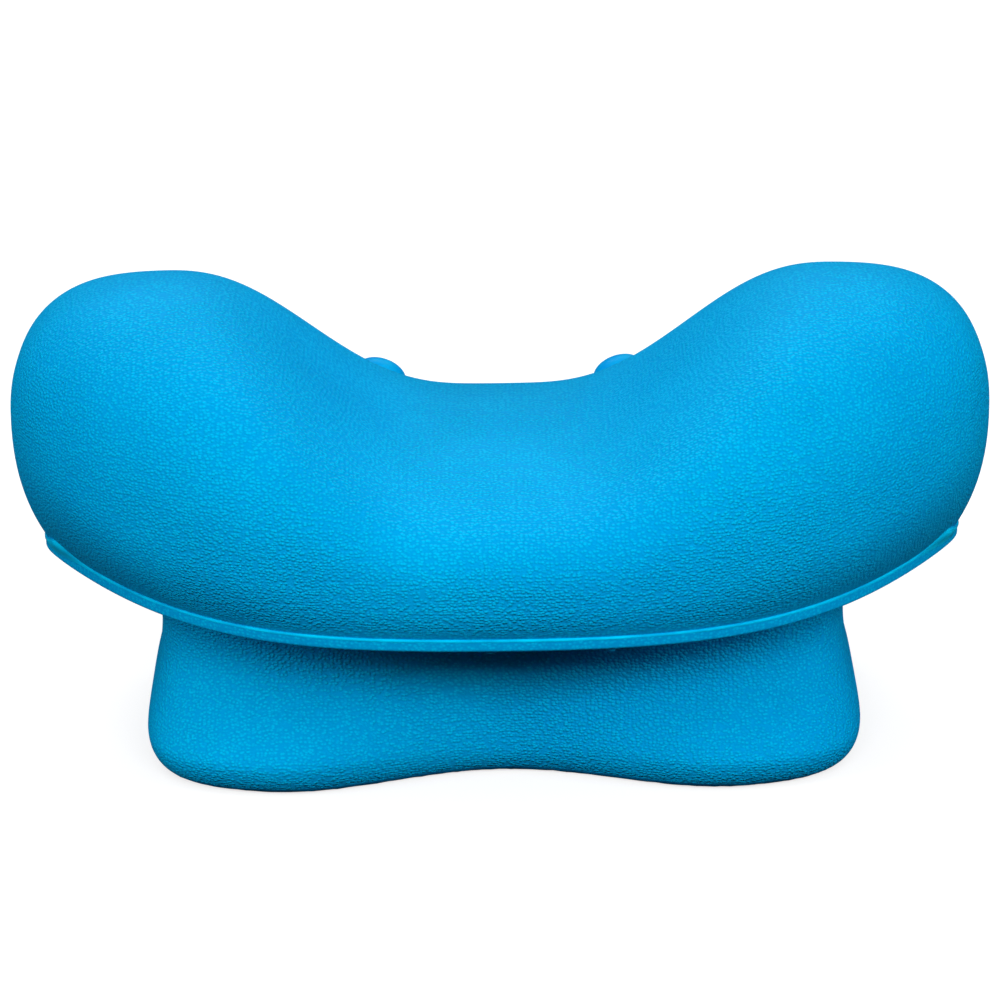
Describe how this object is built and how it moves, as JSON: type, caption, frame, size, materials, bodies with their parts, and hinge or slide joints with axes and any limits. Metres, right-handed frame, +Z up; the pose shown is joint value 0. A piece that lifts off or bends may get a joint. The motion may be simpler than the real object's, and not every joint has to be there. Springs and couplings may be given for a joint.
{
  "type": "cervical traction device",
  "caption": "Moulded soft foam neck rest: a crescent bolster with a neck trough between raised horns, massage nubs and a flared foot.",
  "frame": {"origin": "on the floor, under the middle of the outline", "axes": "+Z up, +X along the bolster from horn to horn, the bulging front towards -Y and the head side towards +Y"},
  "size_m": [0.246, 0.1452, 0.1166],
  "materials": {
    "foam": "open-celled soft polyurethane foam",
    "grained_skin": "satin self-skinned foam with a pebbled leather grain",
    "sole": "satin flat moulded skin with a fine grain",
    "nub": "smooth satin skin",
    "bead": "smooth trimmed flash"
  },
  "bodies": {
    "root": {"foam_core": "foam", "top_skin": "grained_skin", "underside_skin": "grained_skin", "sole_skin": "sole", "parting_line_bead": "bead", "nub_upper_left": "nub", "nub_upper_right": "nub", "nub_lower_left": "nub", "nub_lower_right": "nub", "vent_nib_left": "bead", "vent_nib_right": "bead"}
  },
  "joints": []
}
